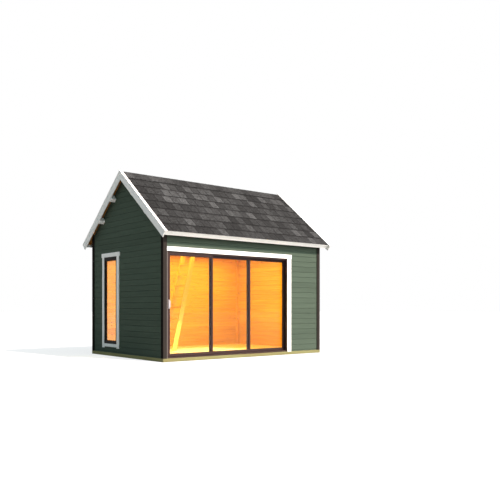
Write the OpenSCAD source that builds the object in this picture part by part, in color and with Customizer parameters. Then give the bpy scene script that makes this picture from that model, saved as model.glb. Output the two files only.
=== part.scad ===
// Garden shed: board walls on a timber base, a steep shingle roof, a three-leaf
// sliding glass door, a tall fixed gable window, a loft and its ladder.
// Millimetres. X runs along the eaves, Y from the door wall to the back wall, Z up.
// The origin is on the ground at the centre of the base.

/* [Plan] */
// Length along the eaves, over the corner boards
shed_length = 4480; // [4200:10:6000]
// Depth from the door wall to the back wall, over the corner boards
shed_depth = 2990; // [2450:10:3700]

/* [Base and floor] */
// Height of the base beams and of the floor joists
base_h = 70; // [50:5:120]
// Width of each base beam
base_beam_w = 70; // [66:1:120]
// Width of each floor joist
joist_w = 45; // [36:1:70]
// Number of floor joists
joist_count = 8; // [5:1:12]
// Thickness of the floor boards
floor_t = 20; // [16:1:26]

/* [Walls] */
// Thickness of the wall boards
wall_t = 44; // [28:1:70]
// Height of the eave walls at their outer face, from the ground
wall_h = 2707; // [2600:1:3100]
// Thickness of the corner boards and casings, which stand on the wall face
trim_t = 20; // [16:1:28]
// Width of the corner boards on the eave sides
corner_w_eave = 90; // [80:1:150]
// Width of the corner boards on the gable sides
corner_w_gable = 84; // [70:1:150]
// Size of the inner corner posts along X
post_x = 95; // [45:1:120]
// Size of the inner corner posts along Y
post_y = 45; // [34:1:70]

/* [Roof] */
// Pitch of both roof slopes in degrees
roof_pitch = 40; // [32:1:45]
// Thickness of the roof boards
deck_t = 20; // [16:1:28]
// Thickness of the shingles, where they lap
shingle_t = 8; // [4:1:14]
// How far the shingles reach past the fascia
shingle_drip = 6; // [2:1:30]
// Level distance from the corner boards to the face of the eave fascia
eave_run = 194; // [120:1:400]
// Level distance from the corner boards to the face of the bargeboards
gable_run = 118; // [80:1:300]
// Thickness of the eave fascia
fascia_t = 20; // [16:1:28]
// Height of the eave fascia, square to the slope
fascia_h = 100; // [70:1:150]
// Thickness of the bargeboards
barge_t = 22; // [18:1:30]
// Height of the bargeboards, square to the slope
barge_h = 132; // [110:1:200]
// How far the bargeboards run on past the fascia
barge_past = 50; // [10:1:90]
// Width of the cap boards over the roof edge
cap_w = 66; // [60:1:120]
// Thickness of the cap boards
cap_t = 18; // [14:1:28]
// How far the cap boards stand proud of the bargeboards
cap_lip = 8; // [0:1:15]
// How far the front cap boards run up past the ridge
cap_tip = 62; // [30:1:100]
// Width of the ridge strip on each slope
ridge_strip_w = 240; // [80:1:300]
// Thickness of the ridge strip
ridge_strip_t = 5; // [3:1:8]

/* [Roof beams] */
// Width of the purlins along the slope
purlin_w = 95; // [60:1:140]
// Depth of the purlins, square to the slope
purlin_h = 127; // [80:1:170]
// Distance down the slope from the ridge to the middle of the upper purlins
purlin_upper = 690; // [500:1:850]
// Distance down the slope from the ridge to the middle of the lower purlins
purlin_lower = 1360; // [1100:1:1400]
// Width of the ridge beam
ridge_beam_w = 95; // [60:1:160]
// Depth of the ridge beam at its peak
ridge_beam_h = 130; // [110:1:200]

/* [Sliding door] */
// Distance from the left corner boards' face to the door frame
door_from_left = 90; // [90:1:200]
// Clear width between the door jambs
door_opening = 3291; // [2400:1:3700]
// Height of the door frame, from the base beams up
door_h = 2120; // [1900:1:2350]
// Face width of the door jambs and the head
door_jamb_w = 35; // [25:1:60]
// Thickness of one door leaf
leaf_t = 36; // [30:1:50]
// Distance between neighbouring tracks
track_pitch = 45; // [42:1:60]
// Overlap of neighbouring leaves when the door is shut
leaf_overlap = 50; // [40:1:70]
// Width of a leaf's stiles
stile_w = 50; // [40:1:80]
// Height of a leaf's bottom rail
bottom_rail_h = 51; // [40:1:100]
// Height of a leaf's top rail
top_rail_h = 45; // [40:1:80]
// Thickness of the glass in one pane, both sheets together
glass_t = 8; // [4:1:12]
// Height of the sill plate
sill_h = 26; // [16:1:34]
// Height of the track ribs on the sill
rib_h = 8; // [5:1:12]
// Width of the track ribs
rib_w = 6; // [4:1:10]
// Width of the casing beside the door
jamb_casing_w = 120; // [90:1:160]
// Height of the casing over the door
head_casing_h = 90; // [70:1:130]
// How far the head casing runs past the jamb casing
head_casing_past = 10; // [0:1:40]
// Height of the handle's middle above the ground
handle_z = 1140; // [950:1:1200]
// Length of the handle's plate
handle_l = 176; // [150:1:260]
// Width of the handle's plate
handle_w = 28; // [24:1:38]

/* [Gable window] */
// Distance from the door wall's corner boards to the window opening
window_from_front = 1846; // [500:1:1850]
// Width of the window opening
window_w = 563; // [400:1:700]
// Height of the bottom of the window opening
window_z0 = 268; // [250:1:900]
// Height of the window opening
window_h = 1932; // [900:1:1940]
// Width of the casings beside the window
window_side_w = 90; // [70:1:130]
// Height of the casing over the window
window_head_h = 90; // [70:1:130]
// How far the head casing runs past the side casings
window_head_past = 28; // [0:1:50]
// Height of the board under the window
window_apron_h = 68; // [50:1:100]
// How far the side casings hang below that board
window_side_drop = 25; // [0:1:60]
// Face width of the window frame's sides
sash_side = 50; // [40:1:90]
// Face height of the window frame's head
sash_top = 85; // [40:1:110]
// Face height of the window frame's bottom
sash_bottom = 70; // [40:1:110]
// Depth of the window frame through the wall
sash_depth = 64; // [40:1:90]
// How far the window frame's face stands back from the casings' face
sash_inset = 3; // [0:1:16]

/* [Loft and ladder] */
// Distance from the left corner boards' face to the loft's edge
loft_edge = 1855; // [1500:1:2600]
// Height of the loft joists' underside
loft_z = 2400; // [2300:1:2450]
// Depth of the loft joists
loft_joist_h = 145; // [95:1:150]
// Width of the loft joists
loft_joist_w = 45; // [36:1:60]
// Distance between the loft joists
loft_pitch = 600; // [400:10:800]
// Thickness of the loft boards
loft_floor_t = 18; // [16:1:25]
// Lean of the ladder from upright in degrees
ladder_lean = 13.9; // [8:0.1:25]
// Distance from the door wall's corner boards to the ladder
ladder_from_front = 1400; // [400:1:1500]
// Width of the ladder over its stringers
ladder_w = 420; // [350:1:600]
// Thickness of the ladder's stringers and treads
ladder_t = 28; // [22:1:40]
// Depth of the stringers, square to their length
stringer_d = 120; // [90:1:150]
// Depth of the treads
tread_d = 100; // [70:1:120]
// Rise from tread to tread
tread_rise = 250; // [200:1:300]

/* [Hidden] */
$fn = 32;

// Clearances
moving_gap = 5;      // between a moving leaf and what it passes or stops at
runner_gap = 0.3;    // between a leaf and the rib that it runs on
casing_gap = 6;      // between the outer leaf and the casing in front of it
frame_margin = 6;    // from the inner leaf to the back of the door frame
seat_gap = 0.1;      // between a sloping layer and what carries it
notch_over = 40;     // how far a cut through the gables' top runs on above it

// Plan
half_l = shed_length / 2;
half_d = shed_depth / 2;
wall_out = half_d - trim_t;          // outer face of the eave walls
wall_in = wall_out - wall_t;
gable_out = half_l - trim_t;         // outer face of the gable walls
gable_in = gable_out - wall_t;
floor_z = base_h + floor_t;

// Roof
roof_t = deck_t + shingle_t;
ridge_z = wall_h + wall_out * tan(roof_pitch) + roof_t / cos(roof_pitch);
slope_l = (half_d + eave_run) / cos(roof_pitch);
barge_out = half_l + gable_run;
barge_in = barge_out - barge_t;
cap_out = barge_out + cap_lip;
cap_in = cap_out - cap_w;

// Door: distances from the front face of the corner boards, and heights
door_x0 = door_from_left - half_l;
opening_x0 = door_x0 + door_jamb_w;
opening_x1 = opening_x0 + door_opening;
door_x1 = opening_x1 + door_jamb_w;
door_top = base_h + door_h;
head_z = door_top - (door_jamb_w - moving_gap);
leaf_w = (door_opening - 2 * moving_gap + 2 * leaf_overlap) / 3;
leaf_step = leaf_w - leaf_overlap;
track_y = trim_t + casing_gap;
frame_back = track_y + 2 * track_pitch + leaf_t + frame_margin;
frame_nose = 12;                     // the frame stands this far out of the wall face
frame_front = trim_t - frame_nose;
sill_z = base_h + sill_h;
leaf_z0 = sill_z + rib_h + runner_gap;
leaf_z1 = head_z - moving_gap;
casing_reveal = 16;                  // the casing covers this much of the opening
jamb_casing_x = opening_x1 - casing_reveal;

// Window
window_y0 = window_from_front - half_d;
window_y1 = window_y0 + window_w;
window_z1 = window_z0 + window_h;

// Handle
handle_plate_t = 6;
handle_reach = 46;
grip_d = 14;
handle_x = opening_x0 + moving_gap + stile_w / 2;

// Loft and ladder
loft_x = loft_edge - half_l;
loft_top = loft_z + loft_joist_h;
ladder_y = ladder_from_front - half_d;
stringer_run = stringer_d / cos(ladder_lean);
tread_count = floor((loft_z - floor_z) / tread_rise);

// Colours
WALL_GREEN = "#4c5a4c";
TRIM_WHITE = "#e9e9e6";
DARK_TRIM = "#2e2a28";
BRONZE = "#3a2b27";
PALE_WOOD = "#e7bd80";
BASE_WOOD = "#c6bb7c";
SHINGLE_GREY = "#575553";

// Height of the underside of the roof boards at distance y from the ridge
function deck_z(y) = ridge_z - roof_t / cos(roof_pitch) - abs(y) * tan(roof_pitch);

// Point of the roof section: s down the slope from the ridge, n out of the shingles.
// side is -1 for the front slope and 1 for the back slope.
function slope_point(side, s, n) = [
    side * (s * cos(roof_pitch) + n * sin(roof_pitch)),
    ridge_z - s * sin(roof_pitch) + n * cos(roof_pitch)
];

// Where a slope layer at height n meets the plumb plane through the ridge
function ridge_s(n) = -n * tan(roof_pitch);

module box(low, high) {
    translate(low) cube(high - low);
}

// Extrudes a section drawn as [Y, Z] from x0 to x1
module along_x(x0, x1) {
    translate([x0, 0, 0]) rotate([90, 0, 90]) linear_extrude(x1 - x0) children();
}

// Extrudes a section drawn as [X, Z] from y0 to y1
module along_y(y0, y1) {
    translate([0, y1, 0]) rotate([90, 0, 0]) linear_extrude(y1 - y0) children();
}

// Section of a slope layer from s0 to s1, cut plumb where it starts at the ridge
module slope_section(side, s0, s1, n0, n1) {
    polygon([
        slope_point(side, s0 > 0 ? s0 : ridge_s(n0), n0),
        slope_point(side, s1, n0),
        slope_point(side, s1, n1),
        slope_point(side, s0 > 0 ? s0 : ridge_s(n1), n1)
    ]);
}

// Section of everything below the roof boards, between y0 and y1 and above z0
module under_roof(y0, y1, z0) {
    polygon(concat(
        [[y0, z0], [y1, z0], [y1, deck_z(y1)]],
        y0 < 0 && y1 > 0 ? [[0, deck_z(0)]] : [],
        [[y0, deck_z(y0)]]
    ));
}

// Both purlin sections of a slope, reaching over above the roof boards' underside
module purlin_sections(side, over) {
    for (middle = [purlin_upper, purlin_lower])
        slope_section(side, middle - purlin_w / 2, middle + purlin_w / 2,
            -roof_t - purlin_h, over - roof_t);
}

module ridge_beam_section() {
    half_w = ridge_beam_w / 2;
    polygon([
        [-half_w, deck_z(0) - ridge_beam_h],
        [half_w, deck_z(0) - ridge_beam_h],
        [half_w, deck_z(half_w)],
        [0, deck_z(0)],
        [-half_w, deck_z(half_w)]
    ]);
}

// ---- Base and floor ----

module base_long_beams() {
    color(BASE_WOOD) for (y = [-half_d, half_d - base_beam_w])
        box([-half_l, y, 0], [half_l, y + base_beam_w, base_h]);
}

module base_end_beams() {
    end = half_d - base_beam_w;
    color(BASE_WOOD) for (x = [-half_l, half_l - base_beam_w])
        box([x, -end, 0], [x + base_beam_w, end, base_h]);
}

module floor_joists() {
    end = half_d - base_beam_w;
    pitch = (shed_length - 2 * base_beam_w) / (joist_count + 1);
    color(BASE_WOOD) for (i = [1 : joist_count]) {
        middle = -half_l + base_beam_w + i * pitch;
        box([middle - joist_w / 2, -end, 0], [middle + joist_w / 2, end, base_h]);
    }
}

module floor_boards() {
    color(PALE_WOOD) difference() {
        box([-gable_in, -wall_in, base_h], [gable_in, wall_in, floor_z]);
        box([door_x0, -half_d, base_h - 1], [door_x1, frame_back - half_d, floor_z + 1]);
    }
}

// ---- Walls ----

module front_wall_left() {
    color(WALL_GREEN)
        box([-gable_out, -wall_out, base_h], [door_x0, -wall_in, door_top]);
}

module front_wall_right() {
    color(WALL_GREEN)
        box([door_x1, -wall_out, base_h], [gable_out, -wall_in, door_top]);
}

module front_wall_head() {
    color(WALL_GREEN) along_x(-gable_out, gable_out)
        under_roof(-wall_out, -wall_in, door_top);
}

module back_wall() {
    color(WALL_GREEN) along_x(-gable_out, gable_out)
        under_roof(wall_in, wall_out, base_h);
}

// Gable wall between the eave walls, notched for the purlins and the ridge beam
module gable_section() {
    difference() {
        under_roof(-wall_in, wall_in, base_h);
        for (side = [-1, 1]) purlin_sections(side, notch_over);
        translate([-ridge_beam_w / 2, deck_z(0) - ridge_beam_h])
            square([ridge_beam_w, ridge_beam_h + notch_over]);
    }
}

module left_gable_wall() {
    color(WALL_GREEN) along_x(-gable_out, -gable_in) difference() {
        gable_section();
        translate([window_y0, window_z0]) square([window_w, window_h]);
    }
}

module right_gable_wall() {
    color(WALL_GREEN) along_x(gable_in, gable_out) gable_section();
}

// Two L-shaped corner boards of one eave side
module corner_boards(side) {
    for (end = [-1, 1]) intersection() {
        scale([1, side, 1]) for (arm = [0, 1])
            mirrored_box(end,
                [half_l - (arm == 0 ? corner_w_eave : trim_t),
                    half_d - (arm == 0 ? trim_t : corner_w_gable), base_h],
                [half_l, half_d, ridge_z]);
        along_x(-half_l, half_l) under_roof(-half_d, half_d, base_h);
    }
}

// A box whose X runs outwards to the left (end -1) or to the right (end 1)
module mirrored_box(end, low, high) {
    box([min(end * low.x, end * high.x), low.y, low.z],
        [max(end * low.x, end * high.x), high.y, high.z]);
}

module front_corner_boards() {
    color(DARK_TRIM) corner_boards(-1);
}

module back_corner_boards() {
    color(DARK_TRIM) corner_boards(1);
}

module inner_corner_posts() {
    color(PALE_WOOD) for (end = [-1, 1])
        mirrored_box(end, [gable_in - post_x, wall_in - post_y, floor_z],
            [gable_in, wall_in, loft_z]);
}

// ---- Roof ----

module purlins() {
    color(TRIM_WHITE) along_x(-barge_in, barge_in) for (side = [-1, 1])
        purlin_sections(side, 0);
}

module ridge_beam() {
    color(TRIM_WHITE) along_x(-barge_in, barge_in) ridge_beam_section();
}

module roof_layer(side, s1, n0, n1) {
    along_x(-barge_in, barge_in) slope_section(side, 0, s1, n0, n1);
}

module front_roof_boards() {
    color(PALE_WOOD) roof_layer(-1, slope_l - fascia_t, -roof_t + seat_gap, -shingle_t);
}

module back_roof_boards() {
    color(PALE_WOOD) roof_layer(1, slope_l - fascia_t, -roof_t + seat_gap, -shingle_t);
}

module front_shingles() {
    color(SHINGLE_GREY) roof_layer(-1, slope_l + shingle_drip, -shingle_t + seat_gap, -seat_gap);
}

module back_shingles() {
    color(SHINGLE_GREY) roof_layer(1, slope_l + shingle_drip, -shingle_t + seat_gap, -seat_gap);
}

// Folded strip that covers the joint of the two slopes
module ridge_strip() {
    color(SHINGLE_GREY) along_x(-cap_in, cap_in) for (side = [-1, 1])
        slope_section(side, 0, ridge_strip_w, 0, ridge_strip_t);
}

module eave_fascias() {
    color(TRIM_WHITE) along_x(-barge_in, barge_in) for (side = [-1, 1])
        slope_section(side, slope_l - fascia_t, slope_l, -shingle_t - fascia_h, -shingle_t);
}

module bargeboards(side) {
    for (x = [-barge_out, barge_in]) along_x(x, x + barge_t)
        slope_section(side, 0, slope_l + barge_past, -barge_h, 0);
}

module front_bargeboards() {
    color(TRIM_WHITE) bargeboards(-1);
}

module back_bargeboards() {
    color(TRIM_WHITE) bargeboards(1);
}

// The front cap boards run on past the ridge, square cut
module front_cap_boards() {
    low = slope_l + barge_past;
    color(TRIM_WHITE) for (x = [-cap_out, cap_in]) along_x(x, x + cap_w)
        polygon([
            slope_point(-1, -cap_tip, 0),
            slope_point(-1, low, 0),
            slope_point(-1, low, cap_t),
            slope_point(-1, -cap_tip, cap_t)
        ]);
}

// The back cap boards end under the front ones
module back_cap_boards() {
    low = slope_l + barge_past;
    color(TRIM_WHITE) for (x = [-cap_out, cap_in]) along_x(x, x + cap_w)
        polygon([
            slope_point(1, 0, 0),
            slope_point(1, low, 0),
            slope_point(1, low, cap_t),
            slope_point(1, cap_t / tan(2 * roof_pitch), cap_t)
        ]);
}

// ---- Sliding door ----

// A box given by distances back from the front face of the corner boards
module door_box(x, y, z) {
    box([x[0], y[0] - half_d, z[0]], [x[1], y[1] - half_d, z[1]]);
}

module door_jambs() {
    color(BRONZE) {
        door_box([door_x0, opening_x0], [frame_front, frame_back], [base_h, door_top]);
        door_box([opening_x1, door_x1], [trim_t, frame_back], [base_h, door_top]);
    }
}

module door_head() {
    color(BRONZE)
        door_box([opening_x0, opening_x1], [trim_t, frame_back], [head_z, door_top]);
}

// Sill plate with a rib for each leaf and a nose that ends at the jamb casing
module door_sill() {
    color(BRONZE) {
        door_box([opening_x0, opening_x1], [trim_t, frame_back], [base_h, sill_z]);
        door_box([opening_x0, jamb_casing_x], [frame_front, trim_t], [base_h, sill_z]);
        for (i = [0 : 2]) {
            middle = track_y + i * track_pitch + leaf_t / 2;
            door_box([opening_x0, opening_x1], [middle - rib_w / 2, middle + rib_w / 2],
                [base_h, sill_z + rib_h]);
        }
    }
}

module door_head_casing() {
    color(TRIM_WHITE)
        door_box([door_x0, jamb_casing_x + jamb_casing_w + head_casing_past], [0, trim_t],
            [door_top, door_top + head_casing_h]);
}

module door_jamb_casing() {
    color(TRIM_WHITE)
        door_box([jamb_casing_x, jamb_casing_x + jamb_casing_w], [0, trim_t],
            [base_h, door_top]);
}

// Leaf i of 0 to 2, from the outer left one to the inner right one
function leaf_x(i) = opening_x0 + moving_gap + i * leaf_step;
function leaf_y(i) = track_y + i * track_pitch;

module leaf_pane(i, y) {
    door_box([leaf_x(i) + stile_w, leaf_x(i) + leaf_w - stile_w], y,
        [leaf_z0 + bottom_rail_h, leaf_z1 - top_rail_h]);
}

module leaf_frame(i) {
    color(BRONZE) difference() {
        door_box([leaf_x(i), leaf_x(i) + leaf_w], [leaf_y(i), leaf_y(i) + leaf_t],
            [leaf_z0, leaf_z1]);
        leaf_pane(i, [leaf_y(i) - 1, leaf_y(i) + leaf_t + 1]);
    }
}

module leaf_glass(i) {
    middle = leaf_y(i) + leaf_t / 2;
    color("#fdbf60") leaf_pane(i, [middle - glass_t / 2, middle + glass_t / 2]);
}

// Plate with a round grip on two pillars
module left_leaf_handle() {
    grip_l = handle_l - 2 * grip_d;
    grip_y = track_y - handle_reach + grip_d / 2 - half_d;
    color("#cdc8d3") {
        door_box([handle_x - handle_w / 2, handle_x + handle_w / 2],
            [track_y - handle_plate_t, track_y],
            [handle_z - handle_l / 2, handle_z + handle_l / 2]);
        translate([handle_x, grip_y, handle_z - grip_l / 2]) cylinder(d = grip_d, h = grip_l);
        for (end = [-1, 1])
            translate([handle_x, track_y - half_d - 1, handle_z + end * (grip_l / 2 - grip_d)])
                rotate([90, 0, 0]) cylinder(d = grip_d * 0.8, h = handle_reach - grip_d / 2 - 1);
    }
}

// ---- Gable window ----

// A box given by distances in from the left corner boards' outer face
module window_box(x, y, z) {
    box([x[0] - half_l, y[0], z[0]], [x[1] - half_l, y[1], z[1]]);
}

module window_pane(x) {
    window_box(x, [window_y0 + sash_side, window_y1 - sash_side],
        [window_z0 + sash_bottom, window_z1 - sash_top]);
}

module window_frame() {
    color(DARK_TRIM) difference() {
        window_box([sash_inset, sash_inset + sash_depth], [window_y0, window_y1],
            [window_z0, window_z1]);
        window_pane([sash_inset - 1, sash_inset + sash_depth + 1]);
    }
}

module window_glass() {
    middle = sash_inset + sash_depth / 2;
    color("#fbaa39") window_pane([middle - glass_t / 2, middle + glass_t / 2]);
}

module window_head_casing() {
    past = window_side_w + window_head_past;
    color(TRIM_WHITE) window_box([0, trim_t], [window_y0 - past, window_y1 + past],
        [window_z1, window_z1 + window_head_h]);
}

module window_side_casings() {
    bottom = window_z0 - window_apron_h - window_side_drop;
    color(TRIM_WHITE) for (y = [window_y0 - window_side_w, window_y1])
        window_box([0, trim_t], [y, y + window_side_w], [bottom, window_z1]);
}

module window_apron() {
    color(TRIM_WHITE) window_box([0, trim_t], [window_y0, window_y1],
        [window_z0 - window_apron_h, window_z0]);
}

// ---- Loft and ladder ----

module loft_joists() {
    color(PALE_WOOD) for (x = [loft_x : loft_pitch : gable_in - loft_joist_w])
        box([x, -wall_in, loft_z], [x + loft_joist_w, wall_in, loft_top]);
}

module loft_boards() {
    color(PALE_WOOD)
        box([loft_x, -wall_in, loft_top], [gable_in, wall_in, loft_top + loft_floor_t]);
}

// X of the ladder's loft side at height z
function ladder_x(z) = loft_x - (loft_z - z) * tan(ladder_lean);

// Leaning boards, cut level at the floor and plumb against the loft's edge
module ladder_stringers() {
    color(PALE_WOOD) for (y = [ladder_y, ladder_y + ladder_w - ladder_t])
        along_y(y, y + ladder_t) polygon([
            [ladder_x(floor_z) - stringer_run, floor_z],
            [ladder_x(floor_z), floor_z],
            [loft_x, loft_z],
            [loft_x, loft_top],
            [ladder_x(loft_top) - stringer_run, loft_top]
        ]);
}

module ladder_treads() {
    color(PALE_WOOD) for (i = [1 : tread_count]) {
        top = floor_z + i * tread_rise;
        middle = ladder_x(top - ladder_t / 2) - stringer_run / 2;
        box([middle - tread_d / 2, ladder_y + ladder_t, top - ladder_t],
            [middle + tread_d / 2, ladder_y + ladder_w - ladder_t, top]);
    }
}

base_long_beams();
base_end_beams();
floor_joists();
floor_boards();
front_wall_left();
front_wall_right();
front_wall_head();
back_wall();
left_gable_wall();
right_gable_wall();
front_corner_boards();
back_corner_boards();
inner_corner_posts();
purlins();
ridge_beam();
front_roof_boards();
back_roof_boards();
front_shingles();
back_shingles();
ridge_strip();
eave_fascias();
front_bargeboards();
back_bargeboards();
front_cap_boards();
back_cap_boards();
door_jambs();
door_head();
door_sill();
door_head_casing();
door_jamb_casing();
leaf_frame(0);  // left_leaf_frame
leaf_glass(0);  // left_leaf_glass
left_leaf_handle();
leaf_frame(1);  // middle_leaf_frame
leaf_glass(1);  // middle_leaf_glass
leaf_frame(2);  // right_leaf_frame
leaf_glass(2);  // right_leaf_glass
window_frame();
window_glass();
window_head_casing();
window_side_casings();
window_apron();
ladder_stringers();
ladder_treads();
loft_joists();
loft_boards();
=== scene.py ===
"""Garden shed: the finish of its boards, shingles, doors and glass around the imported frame."""

import functools
import math

import bpy
import numpy as np
from bpy.props import (FloatProperty, FloatVectorProperty, IntProperty,
                       PointerProperty)
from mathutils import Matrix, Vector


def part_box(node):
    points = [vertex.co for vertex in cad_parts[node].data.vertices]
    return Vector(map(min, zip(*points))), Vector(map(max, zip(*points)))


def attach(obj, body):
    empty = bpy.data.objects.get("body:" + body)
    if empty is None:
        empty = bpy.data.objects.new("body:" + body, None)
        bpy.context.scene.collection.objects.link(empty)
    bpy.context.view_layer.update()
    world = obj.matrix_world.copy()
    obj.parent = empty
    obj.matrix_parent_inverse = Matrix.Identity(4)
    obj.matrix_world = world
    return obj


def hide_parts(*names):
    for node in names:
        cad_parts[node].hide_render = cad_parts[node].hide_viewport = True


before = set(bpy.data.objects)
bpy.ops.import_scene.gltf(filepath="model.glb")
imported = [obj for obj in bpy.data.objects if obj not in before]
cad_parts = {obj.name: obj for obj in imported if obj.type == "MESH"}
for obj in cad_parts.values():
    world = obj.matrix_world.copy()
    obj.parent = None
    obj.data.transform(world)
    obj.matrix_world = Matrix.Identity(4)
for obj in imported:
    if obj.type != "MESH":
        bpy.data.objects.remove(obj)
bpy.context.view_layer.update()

bl_info = {
    "name": "Garden shed",
    "version": (1, 0, 0),
    "blender": (4, 5, 0),
    "location": "3D View > Sidebar > Shed",
    "description": "Builds the boards, shingles, joinery and stage of a garden shed",
    "category": "Add Mesh",
}

X, _, Z = np.eye(3)
PAINT, SPRUCE = 0, 1          # material places on a wall board
PLAIN = 0.5                   # tone of parts that don't differ from piece to piece

# Fine sizes in metres
SAWN_EASE = 0.004             # bevel on sawn beams and roof boards
BAR_EASE = 0.003              # joists and the bars of the window
TRIM_EASE = 0.002             # corner boards and the handle plate
FLOOR_EASE = 0.0012
STRIP_EASE = 0.001
SEAL_EASE = 0.0008
LIP_EASE = 0.0005
PEAK_GAP = 0.004              # from the highest gable board to the ridge beam's top
FELT_T = 0.0015               # felt under the shingles
FELT_EDGE = 0.004             # its lower edge, back from the tabs' butts
FELT_GAP = 0.0001             # between a tab's head and the felt
HEAD_LAP = 0.05               # a tab's head runs this far under the course above
HEAD_DROP = 0.0045            # and lies this much lower than its butt
HEAD_T = 0.003                # thickness of a tab's head
HEAD_GAP = 0.002              # from the highest heads to the ridge's plumb plane
LEAST_TAB = 0.012             # narrower cuttings of a tab are left out
SHADE_FROM, SHADE_TO = 0.060, 0.012   # painted shade band, down from the next course's butts
RIDGE_LAP = 0.012             # of a ridge shingle over the next
RIDGE_GAP = 0.0003            # between a ridge shingle and what it lies on
RIDGE_OWN, RIDGE_RISE = 0.55, 0.45    # shares of the strip: one shingle and its rise
DOOR_BEAD = (0.012, 0.004)    # glazing bead: face width and set-back
SASH_BEAD = (0.016, 0.006)
SEAL_W, SEAL_T = 0.006, 0.003
LIP_T, LIP_DROP = 0.003, 0.018
STRIP_X, STRIP_T = (0.001, 0.017), 0.004
PLATE_T = 0.006               # handle plate
GRIP_RADIUS, GRIP_ELBOW, GRIP_INSET = 0.007, 0.016, 0.022
LAMP_DROP = 0.03              # of the room's lamp under the loft joists
NEAR = 1e-6                   # joints closer than this are one


# ---- Sizes, colours and the frame ----

def linear(code):
    """sRGB hex code to the linear red, green and blue that shaders and properties hold."""
    c = np.array([int(code[i:i + 2], 16) for i in (1, 3, 5)]) / 255
    return tuple(np.where(c <= 0.04045, c / 12.92, ((c + 0.055) / 1.055) ** 2.4))


def length(name, millimetres, text):
    """A length property whose default is given in millimetres."""
    return FloatProperty(name=name, description=text, default=millimetres / 1000,
                         min=0.0005, unit="LENGTH", precision=4)


def colour(name, code, text):
    """A colour property whose default is an sRGB hex code."""
    return FloatVectorProperty(name=name, description=text, default=linear(code),
                               size=3, min=0, max=1, subtype="COLOR")


class ShedSizes(bpy.types.PropertyGroup):
    """Sizes of the repeated boards and shingles"""
    wall_pitch: length("Wall board cover", 120, "Height that each wall board covers")
    wall_first: length("First joint", 216, "Height of the lowest board joint")
    groove_half: length("Half groove", 6, "Half the width of the V joint of the wall boards")
    groove_deep: length("Groove depth", 8, "Depth of the V joint of the wall boards")
    ease: length("Eased edge", 2.5, "Bevel on the edges of planed timber")
    roof_board: length("Roof board cover", 95, "Width that each roof board covers")
    floor_board: length("Floor board cover", 120, "Width that each floor board covers")
    exposure: length("Shingle exposure", 280, "Slope length that each shingle course shows")
    tab: length("Shingle tab", 205, "Width of one shingle tab")
    slot: length("Shingle slot", 10, "Width of the slot between two tabs")
    butt: length("Shingle butt", 6, "Thickness that shows at a tab's lower edge")
    seed: IntProperty(name="Seed", description="Seed of the boards' and tabs' tones",
                      default=11, min=0)


class ShedColours(bpy.types.PropertyGroup):
    """Colours of the finishes"""
    green: colour("Wall paint", "#475449", "Green paint of the wall boards")
    white: colour("Trim paint", "#edeeeb", "White paint of casings and roof edges")
    dark: colour("Dark trim", "#292624", "Dark stain of the corner boards")
    spruce: colour("Spruce", "#f3bd40", "Planed spruce inside the room")
    spruce_late: colour("Spruce late wood", "#d7962c", "Darker rings of the spruce")
    pine: colour("Treated pine", "#7c7f52", "Pressure-treated base timbers")
    shingle: colour("Shingle", "#2c2e2f", "Mean tone of the mineral granules")
    bronze: colour("Bronze", "#392b29", "Powder coat of the sliding door")
    sash: colour("Window frame", "#1d1b19", "Paint of the gable window's frame")


def sizes():
    """The scene's size properties."""
    return bpy.context.scene.shed_sizes


def colours():
    """The scene's colour properties."""
    return bpy.context.scene.shed_colours


def box(node):
    """Lowest and highest corner of a CAD node as numpy arrays."""
    low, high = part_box(node)
    return np.array(low), np.array(high)


def mesh_points(node):
    """All vertices of a CAD node."""
    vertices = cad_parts[node].data.vertices
    points = np.zeros(len(vertices) * 3, np.float32)
    vertices.foreach_get("co", points)
    return points.reshape(-1, 3).astype(float)


class Roof:
    """The roof's lines, read from the frame: n is 0 on top of the bargeboards."""

    def __init__(self):
        points = mesh_points("front_bargeboards")
        ridge, low = points[points[:, 2].argmax()], points[points[:, 1].argmin()]
        self.ridge_z = ridge[2]
        self.pitch = math.atan2(ridge[2] - low[2], ridge[1] - low[1])
        self.cos, self.sin = math.cos(self.pitch), math.sin(self.pitch)
        self.tan = math.tan(self.pitch)
        self.drip_s = self.layer_end("front_shingles")
        self.shingle_t = (self.ridge_z - box("front_roof_boards")[1][2]) * self.cos
        self.deck_end = self.layer_end("front_roof_boards")
        self.roof_t = (self.ridge_z - self.under_peak()) * self.cos

    def layer_end(self, node):
        """Slope distance of a front layer's lower end."""
        y, z = mesh_points(node)[:, 1:].T
        return ((self.ridge_z - z) * self.sin - y * self.cos).max()

    def under_peak(self):
        """Height at which the roof boards' undersides meet over the ridge beam."""
        return box("ridge_beam")[1][2]

    def at(self, side, s, n):
        """Points s down a slope from the ridge and n out of the shingles, at x 0."""
        s, n = np.broadcast_arrays(np.asarray(s, float), np.asarray(n, float))
        return np.stack([np.zeros(s.shape), side * (s * self.cos + n * self.sin),
                         self.ridge_z - s * self.sin + n * self.cos], -1)

    def plumb(self, n):
        """Slope distance at which a layer at height n meets the plumb plane of the ridge."""
        return -np.asarray(n, float) * self.tan

    def under(self, y):
        """Height of the roof boards' underside at distance y from the ridge."""
        return self.under_peak() - np.abs(y) * self.tan


ROOF = Roof()


# ---- Meshes ----

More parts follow.
